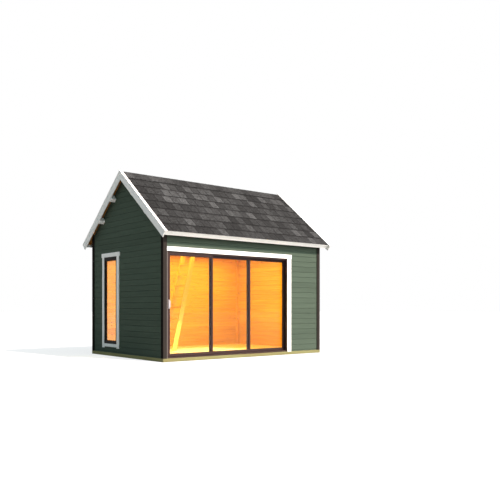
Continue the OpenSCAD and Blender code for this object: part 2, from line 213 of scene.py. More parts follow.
class Timber:
    """Closed straight pieces gathered into one mesh, each with a tone and a grain map.

    The grain map is in metres: U runs along a piece and V round its section, so one
    wood or paint material follows every board, whichever way it lies."""

    def __init__(self, seed=0):
        self.random = np.random.default_rng(sizes().seed + seed)
        self.points, self.faces, self.maps = [], [], []
        self.materials, self.tones = [], []
        self.count = 0

    def sweep(self, stations, tone=None, sides=PAINT, v_start=0.0):
        """Joins matching section outlines, given in order along the piece, by quads,
        and closes both ends. The sign of the enclosed volume says which way is out.
        U is the distance along the piece and V the one round its first outline."""
        rings = np.asarray(stations, float)
        k, p = rings.shape[:2]
        along = rings[-1].mean(0) - rings[0].mean(0)
        along = along / np.linalg.norm(along)
        u = rings @ along
        edges = np.linalg.norm(np.roll(rings[0], -1, 0) - rings[0], axis=1)
        v = v_start + np.concatenate([[0], np.cumsum(edges)])
        i = np.arange(p)
        j = (i + 1) % p
        quads = np.concatenate([np.stack([r * p + i, r * p + j, (r + 1) * p + j,
                                          (r + 1) * p + i], 1) for r in range(k - 1)])
        quad_v = np.tile(np.stack([v[i], v[i + 1], v[i + 1], v[i]], 1), (k - 1, 1))
        quad_map = np.stack([u.ravel()[quads], quad_v], -1)
        flat = rings.reshape(-1, 3)
        ends = [i[::-1], (k - 1) * p + i]
        middle = rings[0].mean(0)
        a, b, c = (flat[quads[:, q]] - middle for q in range(3))
        d = flat[quads[:, 3]] - middle
        volume = (np.cross(a, b) * c).sum() + (np.cross(a, c) * d).sum()
        for e in ends:
            fan = flat[e] - middle
            volume += (np.cross(fan[1:-1], fan[2:]) * fan[0]).sum()
        faces = [list(q) for q in quads] + [list(e) for e in ends]
        maps = list(quad_map) + [self._end_map(flat[e], along) for e in ends]
        if volume < 0:
            faces = [f[::-1] for f in faces]
            maps = [m[::-1] for m in maps]
        side_list = np.tile(np.broadcast_to(sides, (p,)), k - 1)
        tone = self.random.random() if tone is None else tone
        self.points.append(flat)
        self.faces += [[n + self.count for n in f] for f in faces]
        self.maps += maps
        self.materials += list(side_list) + [side_list[0]] * 2
        self.tones += [tone] * len(faces)
        self.count += len(flat)

    @staticmethod
    def _end_map(points, along):
        """Grain map of a cut end: its own two directions, square to the piece."""
        first = np.cross(along, Z if abs(along[2]) < 0.9 else X)
        first = first / np.linalg.norm(first)
        second = np.cross(along, first)
        return np.stack([points @ first, points @ second], -1)

    def board(self, origin, along, across, out, run, width, thick, ease=None, **look):
        """A straight board from origin: run along, width across and thick out, with the
        four long edges eased."""
        along, across, out = (np.asarray(d, float) for d in (along, across, out))
        section = eased(width, thick, sizes().ease if ease is None else ease)
        start = np.asarray(origin, float) + section @ np.array([across, out])
        self.sweep([start, start + along * run], **look)

    def box_board(self, low, high, axis, **look):
        """A board that fills the box from low to high, with its grain along axis 0, 1 or 2."""
        low, high = np.asarray(low, float), np.asarray(high, float)
        size = high - low
        a, b = [n for n in range(3) if n != axis]
        eye = np.eye(3)
        self.board(low, eye[axis], eye[a], eye[b], size[axis], size[a], size[b], **look)

    def mesh(self, name, materials, body, nodes=(), slot=None):
        """Makes the object, puts in its faces, grain map and tones, and sets it on its body
        in place of the given CAD nodes."""
        data = bpy.data.meshes.new(name)
        data.from_pydata(np.concatenate(self.points).tolist(), [], self.faces)
        for m in materials:
            data.materials.append(finish(m))
        data.polygons.foreach_set("material_index", np.array(self.materials, np.int32))
        grain = data.uv_layers.new(name="grain")
        grain.data.foreach_set("uv", np.concatenate(self.maps).astype(np.float32).ravel())
        tone = data.attributes.new("tone", "FLOAT", "FACE")
        tone.data.foreach_set("value", np.array(self.tones, np.float32))
        return place(data, name, body, nodes)


def place(data, name, body, nodes=()):
    """Links a finished mesh as a piece that rides on a body, in place of CAD nodes."""
    if data.validate():
        raise RuntimeError(f"{name} has faces that are not valid")
    data.update()
    piece = bpy.data.objects.new(name, data)
    bpy.context.scene.collection.objects.link(piece)
    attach(piece, body)
    if nodes:
        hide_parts(*nodes)
    return piece


def eased(width, thick, ease):
    """Outline of a rectangle from the origin with its four corners cut at 45 degrees."""
    e, w, t = ease, width, thick
    return np.array([[e, 0], [w - e, 0], [w, e], [w, t - e],
                     [w - e, t], [e, t], [0, t - e], [0, e]])


def ring(x, y, z):
    """An outline's points from their coordinates, any of which may be one number."""
    return np.stack(np.broadcast_arrays(x, y, z), -1)


def tube(name, path, radius, body, material, nodes, slot, sides=16):
    """A round bar: circles of the given radius, square to the path at each of its points,
    joined by quads, with a flat cap on each end."""
    path = np.asarray(path, float)
    tangent = np.gradient(path, axis=0)
    tangent /= np.linalg.norm(tangent, axis=1)[:, None]
    first = np.cross(tangent, X)
    first /= np.linalg.norm(first, axis=1)[:, None]
    second = np.cross(tangent, first)
    turn = np.linspace(0, 2 * np.pi, sides, endpoint=False)
    rings = (path[:, None] + radius * (np.cos(turn)[:, None] * first[:, None]
                                       + np.sin(turn)[:, None] * second[:, None]))
    bar = Timber()
    bar.sweep(rings)
    piece = bar.mesh(name, [material], body, nodes, slot)
    smooth = np.ones(len(piece.data.polygons), bool)
    smooth[-2:] = False
    piece.data.polygons.foreach_set("use_smooth", smooth)
    return piece


# ---- Materials ----

RGB_MIX = {"data_type": "RGBA"}
RGB_TIMES = {"data_type": "RGBA", "blend_type": "MULTIPLY"}


def add(tree, kind, inputs=None, stops=(), **settings):
    """Adds a node with its settings. An input is a value, the output that feeds it, or a
    node whose first output does; stops are a colour ramp's (position, colour) pairs."""
    node = tree.nodes.new(kind)
    for key, value in settings.items():
        setattr(node, key, value)
    for key, value in (inputs or {}).items():
        if isinstance(value, bpy.types.Node):
            value = value.outputs[0]
        if isinstance(value, bpy.types.NodeSocket):
            tree.links.new(value, node.inputs[key])
        else:
            node.inputs[key].default_value = value
    for n, (position, value) in enumerate(stops):
        elements = node.color_ramp.elements
        stop = elements[n] if n < len(elements) else elements.new(position)
        stop.position, stop.color = position, value
    return node


def rgba(rgb, gain=1.0):
    """A linear colour, scaled, with full alpha."""
    return tuple(min(1.0, c * gain) for c in rgb) + (1.0,)


def grey(value):
    """A neutral factor as a colour."""
    return (value, value, value, 1.0)


def new_material(name):
    """A material without nodes, and its tree."""
    material = bpy.data.materials.new(name)
    material.use_nodes = True
    material.node_tree.nodes.clear()
    return material, material.node_tree


def surface(tree, inputs, height=None, depth=0.0):
    """Ends a material in a Principled shader. Its relief is height, from 0 to 1, times
    depth in metres."""
    if height is not None:
        inputs["Normal"] = add(tree, "ShaderNodeBump", {"Height": height, "Strength": 1.0,
                                                        "Distance": depth})
    shader = add(tree, "ShaderNodeBsdfPrincipled", inputs)
    add(tree, "ShaderNodeOutputMaterial", {"Surface": shader})


def grain_place(tree, shift, scale):
    """Place on the grain map in metres, moved by shift times the board's tone, so that no
    two boards show the same wood, and scaled along and across the grain."""
    grain = add(tree, "ShaderNodeUVMap", uv_map="grain")
    tone = add(tree, "ShaderNodeAttribute", attribute_name="tone").outputs["Fac"]
    far = add(tree, "ShaderNodeMath", {0: tone, 1: shift}, operation="MULTIPLY")
    moved = add(tree, "ShaderNodeVectorMath", {0: grain, 1: far}, operation="ADD")
    return add(tree, "ShaderNodeVectorMath", {0: moved, 1: scale}, operation="MULTIPLY")


def grain_noise(tree, along, across, detail=3.0):
    """Noise stretched along the grain: along and across are the pattern's sizes in metres."""
    spot = grain_place(tree, 173.0, (1 / along, 1 / across, 1.0))
    return add(tree, "ShaderNodeTexNoise", {"Vector": spot, "Scale": 1.0, "Detail": detail},
               noise_dimensions="2D")


def painted_timber(name, rgb, variation, roughness, gloss=0.15):
    """Planed timber under a film of paint: fibres 4 mm wide still show as a faint relief,
    weather leaves streaks 50 mm wide, and each board took the paint a little
    differently. On the corner boards the same tone spread is set to paint light and shade
    instead."""
    material, tree = new_material(name)
    tone = add(tree, "ShaderNodeAttribute", attribute_name="tone").outputs["Fac"]
    by_board = add(tree, "ShaderNodeMix", {0: tone, 6: rgba(rgb, 1 - variation),
                                           7: rgba(rgb, 1 + variation)}, **RGB_MIX)
    streaks = add(tree, "ShaderNodeValToRGB", {"Fac": grain_noise(tree, 0.6, 0.05)},
                  [(0.3, grey(0.90)), (0.7, grey(1.04))])
    base = add(tree, "ShaderNodeMix", {0: 0.7, 6: by_board.outputs[2], 7: streaks},
               **RGB_TIMES)
    surface(tree, {"Base Color": base.outputs[2], "Roughness": roughness,
                   "Specular IOR Level": gloss}, grain_noise(tree, 0.12, 0.004, 4.0),
            0.0004)
    return material


def bare_timber(name, early, late, roughness, variation, knots=True):
    """Softwood without a finish: pale early wood, darker late wood in streaks 11 mm wide,
    a slow fade 90 mm wide, fibres 3 mm wide, and round knots about 30 mm across."""
    material, tree = new_material(name)
    streaks = add(tree, "ShaderNodeValToRGB", {"Fac": grain_noise(tree, 0.9, 0.011, 2.0)},
                  [(0.40, rgba(early)), (0.68, rgba(late))])
    fade = add(tree, "ShaderNodeValToRGB", {"Fac": grain_noise(tree, 1.6, 0.09)},
               [(0.3, rgba(early)), (0.75, rgba(late))])
    wood = add(tree, "ShaderNodeMix", {0: 0.30, 6: streaks, 7: fade}, **RGB_MIX)
    tone = add(tree, "ShaderNodeAttribute", attribute_name="tone").outputs["Fac"]
    shade = add(tree, "ShaderNodeValToRGB", {"Fac": tone},
                [(0.0, grey(1 - variation)), (1.0, grey(1 + variation))])
    wood = add(tree, "ShaderNodeMix", {0: 1.0, 6: wood.outputs[2], 7: shade}, **RGB_TIMES)
    if knots:
        cells = grain_place(tree, 61.0, (3.1, 6.7, 1.0))
        spots = add(tree, "ShaderNodeTexVoronoi", {"Vector": cells, "Scale": 1.0},
                    voronoi_dimensions="2D")
        knot = add(tree, "ShaderNodeMapRange", {"Value": spots, "From Min": 0.10,
                                                "From Max": 0.04, "To Min": 0.0,
                                                "To Max": 0.75})
        wood = add(tree, "ShaderNodeMix", {0: knot, 6: wood.outputs[2],
                                           7: rgba(late, 0.45)}, **RGB_MIX)
    surface(tree, {"Base Color": wood.outputs[2], "Roughness": roughness},
            grain_noise(tree, 0.10, 0.003, 4.0), 0.0004)
    return material


def green_paint():
    """Alkyd wall paint, brushed: matt, with slight differences from board to board."""
    return painted_timber("Green wall paint brushed on spruce", colours().green, 0.07, 0.62,
                          gloss=0.02)


def white_paint():
    """Alkyd trim paint, brushed: a smoother and brighter film than on the walls."""
    return painted_timber("White trim paint brushed on spruce", colours().white, 0.02, 0.45)


def dark_stain():
    """Dark opaque stain: brown-black, with the grain showing as matt streaks. Its wide tone
    spread paints the corner boards' eave sides lighter, as painted light, and their gable sides
    darker, as painted shade.
    """
    return painted_timber("Dark opaque stain on spruce", colours().dark, 0.32, 0.7, 0.0)


def sash_paint():
    """Factory-sprayed black paint on a wooden sash: even and fairly smooth."""
    return painted_timber("Black sprayed paint on pine", colours().sash, 0.03, 0.4, 0.04)


def planed_spruce():
    """Planed spruce without a finish: warm, with long rings and small knots."""
    return bare_timber("Planed spruce", colours().spruce, colours().spruce_late, 0.55, 0.10)


def pale_spruce():
    """Sanded and waxed spruce of the floor: paler than the walls, with less contrast."""
    return bare_timber("Sanded spruce floor", linear("#f4dcae"), colours().spruce, 0.45,
                       0.06)


def shade_darkened_spruce():
    """Sawn spruce of the roof boards, darkened to brown as painted shade under the overhangs,
    with dull rings.
    """
    return bare_timber("Spruce roof boards darkened as painted shade", linear("#a06c2c"), linear("#6b4217"),
                       0.75, 0.10)


def treated_pine():
    """Pressure-treated sawn pine: yellow-green with brown rings and a rough face."""
    return bare_timber("Pressure-treated pine", colours().pine, linear("#6a5f36"),
                       0.8, 0.08, knots=False)


def shingle_felt():
    """Bitumen felt with crushed slate pressed in: matt, speckled grain by grain, each tab
    in its own tone, blended by patches of about 40 mm. The granules are 1 to 2 mm, drawn
    as specks of 4 to 12 mm, and the top of each course is darkened as painted shade
    where the next course's butts would shade it."""
    material, tree = new_material("Slate-faced bitumen shingle")
    mean, exposure = colours().shingle, sizes().exposure
    spot = add(tree, "ShaderNodeTexCoord").outputs["Object"]
    fine, coarse, patches = (
        add(tree, "ShaderNodeTexNoise", {"Vector": spot, "Scale": scale, "Detail": 2.0})
        for scale in (260.0, 85.0, 24.0))
    specks = add(tree, "ShaderNodeValToRGB", {"Fac": coarse},
                 [(0.35, (0.72, 0.70, 0.70, 1)), (0.65, (1.22, 1.22, 1.20, 1))])
    mottle = add(tree, "ShaderNodeValToRGB", {"Fac": patches},
                 [(0.36, (0.62, 0.60, 0.60, 1)), (0.64, (1.34, 1.34, 1.32, 1))])
    tone = add(tree, "ShaderNodeAttribute", attribute_name="tone").outputs["Fac"]
    base = add(tree, "ShaderNodeValToRGB", {"Fac": tone},
               [(0.0, rgba(mean, 0.50)), (0.30, rgba(mean, 0.80)),
                (0.65, rgba(mean, 1.15)), (1.0, rgba(mean, 2.1))]).outputs[0]
    for pattern in (specks, mottle):
        base = add(tree, "ShaderNodeMix", {0: 1.0, 6: base, 7: pattern},
                   **RGB_TIMES).outputs[2]
    # Painted shade: the band just below the next course's butts is darkened towards a tenth of
    # the mean tone.
    grain = add(tree, "ShaderNodeUVMap", uv_map="grain")
    up = add(tree, "ShaderNodeSeparateXYZ", {0: grain}).outputs[1]
    shade = add(tree, "ShaderNodeMapRange",
                {"Value": up, "From Min": exposure - SHADE_FROM,
                 "From Max": exposure - SHADE_TO, "To Min": 0.0, "To Max": 0.85})
    base = add(tree, "ShaderNodeMix", {0: shade, 6: base, 7: rgba(mean, 0.10)}, **RGB_MIX)
    surface(tree, {"Base Color": base.outputs[2], "Roughness": 0.95,
                   "Specular IOR Level": 0.2}, fine, 0.0015)
    return material


def powder_coat(name, rgb, roughness):
    """Powder coat on aluminium: even colour with a fine orange-peel relief."""
    material, tree = new_material(name)
    spot = add(tree, "ShaderNodeTexCoord").outputs["Object"]
    peel = add(tree, "ShaderNodeTexNoise", {"Vector": spot, "Scale": 420.0, "Detail": 1.0})
    cloud = add(tree, "ShaderNodeTexNoise", {"Vector": spot, "Scale": 3.0, "Detail": 2.0})
    base = add(tree, "ShaderNodeValToRGB", {"Fac": cloud},
               [(0.3, rgba(rgb, 0.92)), (0.7, rgba(rgb, 1.08))])
    surface(tree, {"Base Color": base, "Roughness": roughness,
                   "Specular IOR Level": 0.12}, peel, 0.0002)
    return material


def bronze_coat():
    """Dark bronze powder coat of the door's aluminium sections."""
    return powder_coat("Bronze powder coat on aluminium", colours().bronze, 0.38)


def grey_coat():
    """Light grey powder coat of the cover strip beside the door."""
    return powder_coat("Grey powder coat on aluminium", linear("#66615e"), 0.45)


def anodised():
    """Satin anodised aluminium of the handle: pale metal with drawn streaks."""
    material, tree = new_material("Satin anodised aluminium")
    rough = add(tree, "ShaderNodeMapRange", {"Value": grain_noise(tree, 0.05, 0.0015),
                                             "To Min": 0.28, "To Max": 0.42})
    surface(tree, {"Base Color": rgba(linear("#d6d3d8")), "Metallic": 0.6,
                   "Roughness": rough})
    return material


def rubber():
    """Extruded rubber of the seals: black and dull, with a faint bloom."""
    material, tree = new_material("Extruded rubber seal")
    spot = add(tree, "ShaderNodeTexCoord").outputs["Object"]
    bloom = add(tree, "ShaderNodeTexNoise", {"Vector": spot, "Scale": 40.0})
    base = add(tree, "ShaderNodeValToRGB", {"Fac": bloom},
               [(0.3, rgba(linear("#131211"))), (0.8, rgba(linear("#262422")))])
    surface(tree, {"Base Color": base, "Roughness": 0.75})
    return material


def pane():
    """Float glass: clear and polished, with a faint green body. It lets lamps through.
    The IOR is a little under real glass, so that a white surround doesn't veil the room."""
    material, tree = new_material("Clear float glass")
    glass = add(tree, "ShaderNodeBsdfPrincipled",
                {"Base Color": rgba(linear("#fafdfb")), "Roughness": 0.0, "IOR": 1.3,
                 "Specular IOR Level": 0.08, "Transmission Weight": 1.0})
    clear = add(tree, "ShaderNodeBsdfTransparent", {"Color": rgba(linear("#f4faf6"))})
    shadow = add(tree, "ShaderNodeLightPath").outputs["Is Shadow Ray"]
    both = add(tree, "ShaderNodeMixShader", {0: shadow, 1: glass, 2: clear})
    add(tree, "ShaderNodeOutputMaterial", {"Surface": both})
    return material


@functools.cache
def finish(maker):
    """The material that a maker function gives, made once."""
    return maker()


def coat_node(node, maker):
    """Gives a CAD node that stays visible its material."""
    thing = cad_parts[node]
    thing.data.materials.clear()
    thing.data.materials.append(finish(maker))


# ---- Walls ----

def wall_rows(low, high):
    """Board joints between two heights: (row, bottom, top) of each board, uncut."""
    s = sizes()
    first = math.floor((low - s.wall_first) / s.wall_pitch + NEAR)
    last = math.ceil((high - s.wall_first) / s.wall_pitch - NEAR)
    return [(row, s.wall_first + row * s.wall_pitch,
             s.wall_first + (row + 1) * s.wall_pitch) for row in range(first, last)]


def row_tone(wall, row):
    """The tone of one board, the same wherever that board is cut by an opening."""
    return np.random.default_rng([sizes().seed, wall, row + 50]).random()


def board_outline(bottom, top, thick):
    """Outline of a tongued board as (depth, height), with a V on both faces at each joint."""
    g, d = sizes().groove_half, sizes().groove_deep
    return np.array([[0, bottom + g], [0, top - g], [d, top], [thick - d, top],
                     [thick, top - g], [thick, bottom + g], [thick - d, bottom],
                     [d, bottom]])


BOARD_SIDES = [PAINT, PAINT, SPRUCE, SPRUCE, SPRUCE, SPRUCE, SPRUCE, PAINT]


def eave_wall(timber, side, x_range, z_range, wall):
    """Boards of a wall along X, cut to z_range and to the underside of the roof: each
    corner's height is the lower of the two."""
    s_low, s_high = box("front_wall_head" if side < 0 else "back_wall")
    outer = side * max(abs(s_low[1]), abs(s_high[1]))
    thick = s_high[1] - s_low[1]
    low_z, high_z = z_range
    for row, bottom, top in wall_rows(low_z, high_z):
        outline = board_outline(bottom, top, thick)
        y = outer - side * outline[:, 0]
        z = np.clip(outline[:, 1], low_z, np.minimum(high_z, ROOF.under(y)))
        start = ring(x_range[0], y, z)
        end = start + X * (x_range[1] - x_range[0])
        timber.sweep([start, end], row_tone(wall, row), BOARD_SIDES, v_start=z[0])


def gable_wall(timber, side, hole, wall):
    """Boards of a gable. They run to the eave walls or to the roof boards, whichever is
    nearer, and stop at the window hole (y0, y1, z0, z1)."""
    node = "left_gable_wall" if side < 0 else "right_gable_wall"
    low, high = box(node)
    outer = side * max(abs(low[0]), abs(high[0]))
    thick, half, peak = high[0] - low[0], high[1], ROOF.under_peak() - PEAK_GAP
    x = outer - side * board_outline(0, 1, thick)[:, 0]
    for row, bottom, top in wall_rows(low[2], peak):
        cuts = sorted([bottom, top] + [z for z in (hole or ())[2:] if bottom < z < top])
        for z0, z1 in zip(cuts[:-1], cuts[1:]):
            z = np.clip(board_outline(bottom, top, thick)[:, 1], max(z0, low[2]),
                        min(z1, peak))
            reach = np.minimum(half, (ROOF.under_peak() - z) / ROOF.tan)
            spans = [(-reach, reach)]
            if hole and z0 >= hole[2] - NEAR and z1 <= hole[3] + NEAR:
                spans = [(-reach, hole[0]), (hole[1], reach)]
            for first, last in spans:
                timber.sweep([ring(x, first, z), ring(x, last, z)], row_tone(wall, row),
                             BOARD_SIDES, v_start=z[0])


class SHED_OT_walls(bpy.types.Operator):
    """Clad the four walls in tongued boards, painted outside and bare inside"""
    bl_idname = "shed.walls"
    bl_label = "Walls"

    def execute(self, context):
        """Builds one piece for each CAD wall, from the same rows of boards."""
        finishes = [green_paint, planed_spruce]
        for node in ("front_wall_left", "front_wall_right", "front_wall_head", "back_wall"):
            low, high = box(node)
            timber = Timber()
            side, wall = (1, 2) if node == "back_wall" else (-1, 1)
            eave_wall(timber, side, (low[0], high[0]), (low[2], high[2]), wall)
            timber.mesh(node + "_cladding", finishes, "shed", [node], "painted_boards")
        low, high = box("window_frame")
        for side, node, hole in ((-1, "left_gable_wall", (low[1], high[1], low[2], high[2])),
                                 (1, "right_gable_wall", None)):
            timber = Timber()
            gable_wall(timber, side, hole, 3 + side)
            timber.mesh(node + "_cladding", finishes, "shed", [node], "painted_boards")
        return {"FINISHED"}


# ---- Base, floor and loft ----

def laid_boards(timber, low, high, cover, notch=None):
    """Boards along X that fill the box, side by side along Y. The notch (x0, x1, y1) is
    left open for the door frame, from the box's front edge back to y1."""
    count = max(1, round((high[1] - low[1]) / cover))
    edges = np.linspace(low[1], high[1], count + 1)
    for y0, y1 in zip(edges[:-1], edges[1:]):
        tone = timber.random.random()
        bands = [(y0, y1, [(low[0], high[0])])]
        if notch and y0 < notch[2]:
            beside = [(low[0], notch[0]), (notch[1], high[0])]
            bands = [(y0, min(y1, notch[2]), beside)]
            if y1 > notch[2] + 0.001:
                bands.append((notch[2], y1, [(low[0], high[0])]))
        for a, b, spans in bands:
            for x0, x1 in spans:
                timber.box_board([x0, a, low[2]], [x1, b, high[2]], 0, tone=tone,
                                 ease=FLOOR_EASE)


def solids(node):
    """Boxes of a CAD node's separate solids: faces that share a corner are one solid."""
    points = np.round(mesh_points(node), 5)
    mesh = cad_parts[node].data
    loops = np.zeros(len(mesh.loops), np.int32)
    mesh.loops.foreach_get("vertex_index", loops)
    corners, same = np.unique(points, axis=0, return_inverse=True)
    faces = same.ravel()[loops].reshape(-1, 3)
    label = np.arange(len(corners))
    while True:
        smallest = label[faces].min(1)
        before = label.copy()
        for column in range(3):
            np.minimum.at(label, faces[:, column], smallest)
        if (label == before).all():
            break
    found = [corners[label == group] for group in np.unique(label)]
    return [(f.min(0), f.max(0)) for f in found]


def timbers(node, axis, makers, slot, seed, ease=None):
    """One board for each box-shaped solid of a CAD node, with the grain along axis."""
    timber = Timber(seed)
    for low, high in solids(node):
        timber.box_board(low, high, axis, ease=ease)
    return timber.mesh(node + "_timber", makers, "shed", [node], slot)


class SHED_OT_base(bpy.types.Operator):
    """Lay the base beams, the joists and the floor boards"""
    bl_idname = "shed.base"
    bl_label = "Base and floor"

    def execute(self, context):
        """Beams and joists keep their CAD boxes; the floor is laid board by board."""
        for seed, (node, axis, ease) in enumerate((("base_long_beams", 0, SAWN_EASE),
                                                   ("base_end_beams", 1, SAWN_EASE),
                                                   ("floor_joists", 1, BAR_EASE)), 1):
            timbers(node, axis, [treated_pine], "treated_pine", seed, ease)
        jambs = box("door_jambs")
        timber = Timber(4)
        laid_boards(timber, *box("floor_boards"), sizes().floor_board,
                    (jambs[0][0], jambs[1][0], jambs[1][1]))
        timber.mesh("floor_boards_laid", [pale_spruce], "shed", ["floor_boards"],
                    "natural_spruce")
        return {"FINISHED"}


class SHED_OT_loft(bpy.types.Operator):
    """Build the loft and its leaning ladder"""
    bl_idname = "shed.loft"
    bl_label = "Loft and ladder"

    def execute(self, context):
        """The stringers pass through three level sections: foot, loft edge and top."""
        timbers("loft_joists", 1, [planed_spruce], "natural_spruce", 5)
        timber = Timber(6)
        laid_boards(timber, *box("loft_boards"), sizes().floor_board)
        timber.mesh("loft_boards_laid", [planed_spruce], "shed", ["loft_boards"],
                    "natural_spruce")
        timbers("ladder_treads", 1, [planed_spruce], "natural_spruce", 7, SAWN_EASE)
        edge = box("loft_joists")[0]
        points = mesh_points("ladder_stringers")
        foot = points[np.isclose(points[:, 2], points[:, 2].min(), atol=1e-4)]
        foot_z, top_z = points[:, 2].min(), points[:, 2].max()
        run = np.ptp(foot[:, 0])
        lean = (edge[0] - foot[:, 0].max()) / (edge[2] - foot_z)
        timber = Timber(8)
        for low, high in solids("ladder_stringers"):
            x, y = eased(run, high[1] - low[1], SAWN_EASE).T
            x = x + foot[:, 0].min()
            timber.sweep([ring(np.minimum(x + lean * (z - foot_z), edge[0]), low[1] + y, z)
                          for z in (foot_z, edge[2], top_z)])
        timber.mesh("ladder_stringers_timber", [planed_spruce], "shed",
                    ["ladder_stringers"], "natural_spruce")
        return {"FINISHED"}


# ---- Corner boards ----

class SHED_OT_corners(bpy.types.Operator):
    """Fit the corner boards and the posts inside the corners"""
    bl_idname = "shed.corners"
    bl_label = "Corners"

    def execute(self, context):
        """Each corner has a board on the eave side and one on the gable side, cut
        to the slope of the roof boards. The eave-side board is painted lighter, as painted
        light, and the gable-side one darker, as painted shade."""
        casing = box("door_jamb_casing")
        trim_t = casing[1][1] - casing[0][1]
        for side, node in ((-1, "front_corner_boards"), (1, "back_corner_boards")):
            timber = Timber(10 + side)
            low, high = box(node)
            wide_y = high[1] - low[1]
            first = solids(node)[0]
            wide_x = first[1][0] - first[0][0]
            face = side * max(abs(low[1]), abs(high[1]))
            for end in (-1, 1):
                edge = end * high[0]
                # Tone 1.0 lightens the eave-side board as painted light; tone 0.0 darkens the
                # gable-side board as painted shade.
                for x_wide, y_wide, y_in, tone in (
                        (wide_x, trim_t, 0.0, 1.0),
                        (trim_t, wide_y - trim_t, trim_t, 0.0)):
                    x, y = eased(x_wide, y_wide, TRIM_EASE).T
                    x, y = edge - end * x, face - side * (y_in + y)
                    timber.sweep([ring(x, y, low[2]), ring(x, y, ROOF.under(y))], tone)
            timber.mesh(node + "_timber", [dark_stain], "shed", [node], "dark_trim")
        timbers("inner_corner_posts", 2, [planed_spruce], "natural_spruce", 13)
        return {"FINISHED"}


# ---- Roof ----

def along_x(timber, outline, x0, x1, **look):
    """Carries an outline, given as points at x 0, from x0 to x1."""
    timber.sweep([outline + X * x0, outline + X * x1], **look)


def slope_outline(side, s0, s1, n0, n1, ease):
    """Eased section of a beam or board that lies square to a slope, at x 0."""
    outline = eased(s1 - s0, n1 - n0, ease) + [s0, n0]
    return ROOF.at(side, outline[:, 0], outline[:, 1])


def slope_board(timber, side, x_run, n_range, first, last, ease):
    """A board that runs down a slope. Its section has x_run, a start and a width, across
    X and n_range out of the slope; first gives the slope distance at which it starts for
    each height n, and last is where it ends."""
    x, n = eased(x_run[1], n_range[1] - n_range[0], ease).T
    x, n = (x_run[0] + x)[:, None] * X, n + n_range[0]
    timber.sweep([ROOF.at(side, first(n), n) + x, ROOF.at(side, last, n) + x])


def beam_in_three(timber, outline, inner, outer):
    """A beam painted where it stands out past the gables and bare in the room."""
    for x0, x1, look in ((-outer, -inner, PAINT), (-inner, inner, SPRUCE),
                         (inner, outer, PAINT)):
        along_x(timber, outline, x0, x1, tone=PLAIN, sides=look)


class SHED_OT_roof_frame(bpy.types.Operator):
    """Build the purlins, the ridge beam and the roof boards"""
    bl_idname = "shed.roof_frame"
    bl_label = "Roof frame"

    def execute(self, context):
        """Purlins lie square to the slope; roof boards run from the ridge to the eaves."""
        inner = box("right_gable_wall")[1][0]
        outer = box("purlins")[1][0]
        timber = Timber(20)
        for low, high in solids("purlins"):
            side = -1 if low[1] < 0 else 1
            depth, width = self.tilted_size(*(high - low)[1:])
            s0 = (ROOF.ridge_z - high[2] - ROOF.roof_t * ROOF.cos) / ROOF.sin
            outline = slope_outline(side, s0, s0 + width, -ROOF.roof_t - depth,
                                    -ROOF.roof_t, SAWN_EASE)
            beam_in_three(timber, outline, inner, outer)
        timber.mesh("purlins_timber", [white_paint, planed_spruce], "shed", ["purlins"],
                    "white_trim")
        low, high = box("ridge_beam")
        half, ease, shoulder = high[1], SAWN_EASE, ROOF.under(high[1])
        outline = ring(0.0, [-half + ease, half - ease, half, half, 0, -half, -half],
                       [low[2], low[2], low[2] + ease, shoulder, high[2], shoulder,
                        low[2] + ease])
        timber = Timber(21)
        beam_in_three(timber, outline, inner, outer)
        timber.mesh("ridge_beam_timber", [white_paint, planed_spruce], "shed",
                    ["ridge_beam"], "white_trim")
        for side, node in ((-1, "front_roof_boards"), (1, "back_roof_boards")):
            self.roof_boards(side, node)
        return {"FINISHED"}

    @staticmethod
    def tilted_size(y, z):
        """Depth and width of a rectangle turned by the pitch, from its upright box of y by
        z: the two equations y = width cos + depth sin, z = width sin + depth cos."""
        spread = ROOF.cos * ROOF.cos - ROOF.sin * ROOF.sin
        return ((z * ROOF.cos - y * ROOF.sin) / spread,
                (y * ROOF.cos - z * ROOF.sin) / spread)

    @staticmethod
    def roof_boards(side, node):
        """Boards side by side along X, cut plumb at the ridge and square at the eave."""
        low, high = box(node)
        timber = Timber(22 + side)
        count = round((high[0] - low[0]) / sizes().roof_board)
        edges = np.linspace(low[0], high[0], count + 1)
        for x0, x1 in zip(edges[:-1], edges[1:]):
            slope_board(timber, side, (x0, x1 - x0), (-ROOF.roof_t, -ROOF.shingle_t),
                        ROOF.plumb, ROOF.deck_end, SAWN_EASE)
        # The roof boards take spruce darkened as painted shade, for the shade under the
        # overhangs.
        timber.mesh(node + "_laid", [shade_darkened_spruce], "shed", [node], "natural_spruce")


